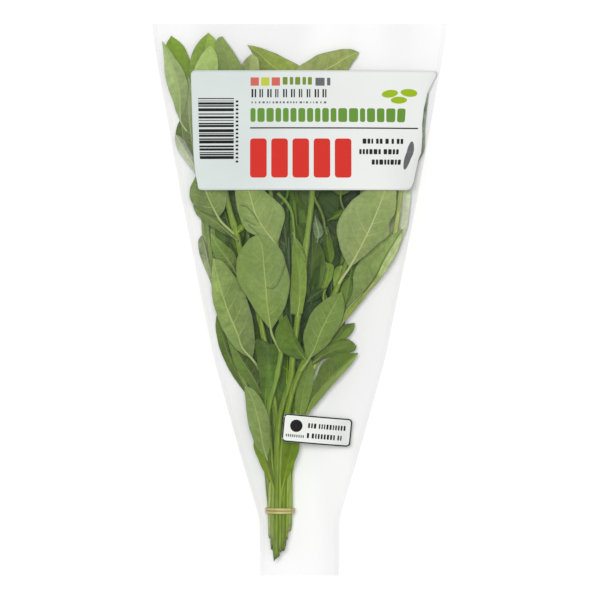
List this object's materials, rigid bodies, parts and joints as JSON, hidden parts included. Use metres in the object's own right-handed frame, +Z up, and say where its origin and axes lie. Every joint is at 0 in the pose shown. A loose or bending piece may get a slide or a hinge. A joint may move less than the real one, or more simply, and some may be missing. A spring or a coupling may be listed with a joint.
{
  "type": "basil bunch",
  "caption": "Cut basil stems with ovate leaves, tied with a rubber band and lying in a clear tapered sleeve with a blank-style paper label and a small sticker.",
  "frame": {"origin": "middle of the footprint, on the surface the bunch lies on", "axes": "+Y along the sleeve from the stem ends to the wide mouth, +X to the right seen from above, +Z up from the surface"},
  "size_m": [0.177, 0.331, 0.0328],
  "materials": {
    "leaf_underside": "soft matt, pale underside of the blade",
    "leaf_upper_side": "satin, deeper green upper side of the blade",
    "leaf_pale": "soft matt, pale green",
    "stem": "smooth, slightly waxy",
    "film": "clear polypropylene film",
    "label_paper": "coated paper, satin",
    "sticker_paper": "coated paper, satin",
    "rubber": "matt natural rubber"
  },
  "bodies": {
    "root": {"label": "label_paper", "leaf_back_centre": "leaf_upper_side", "leaf_back_left": "leaf_upper_side", "leaf_back_lower_left": "leaf_upper_side", "leaf_back_middle_right": "leaf_upper_side", "leaf_back_right": "leaf_upper_side", "leaf_back_upper_left": "leaf_upper_side", "leaf_back_upper_right": "leaf_upper_side", "leaf_behind_petiole": "leaf_underside", "leaf_bright_low": "leaf_upper_side", "leaf_centre_narrow": "leaf_underside", "leaf_centre_strip": "leaf_underside", "leaf_dark_centre": "leaf_upper_side", "leaf_front_centre": "leaf_underside", "leaf_hanging_lower": "leaf_underside", "leaf_hanging_upper": "leaf_underside", "leaf_label_left": "leaf_underside", "leaf_label_right": "leaf_underside", "leaf_left_bright": "leaf_underside", "leaf_left_fold": "leaf_underside", "leaf_left_large": "leaf_underside", "leaf_left_upper": "leaf_underside", "leaf_lower_left_mid": "leaf_underside", "leaf_lower_right": "leaf_underside", "leaf_lowest_left": "leaf_underside", "leaf_right_big": "leaf_underside", "leaf_right_fold_low": "leaf_upper_side", "leaf_right_outer": "leaf_pale", "leaf_right_small_point": "leaf_upper_side", "leaf_right_small_upper": "leaf_upper_side", "leaf_rim_left_fold": "leaf_pale", "leaf_rim_left_grey": "leaf_pale", "leaf_rim_left_high": "leaf_upper_side", "leaf_rim_left_low": "leaf_upper_side", "leaf_rim_right_high": "leaf_upper_side", "leaf_rim_right_low": "leaf_pale", "leaf_top_behind_left": "leaf_upper_side", "leaf_top_fourth": "leaf_underside", "leaf_top_front": "leaf_underside", "leaf_top_long_left": "leaf_upper_side", "leaf_top_long_right": "leaf_underside", "leaf_top_pale_left": "leaf_pale", "leaf_top_second": "leaf_upper_side", "leaf_top_small": "leaf_underside", "leaf_upper_centre_left": "leaf_underside", "rubber_band": "rubber", "sleeve_back": "film", "sleeve_front": "film", "stem_back_left": "stem", "stem_back_right": "stem", "stem_front_left": "stem", "stem_front_right": "stem", "stem_inner_left": "stem", "stem_inner_right": "stem", "stem_left": "stem", "stem_middle": "stem", "stem_right": "stem", "stem_upper_left": "stem", "stem_upper_right": "stem", "sticker": "sticker_paper"}
  },
  "joints": []
}
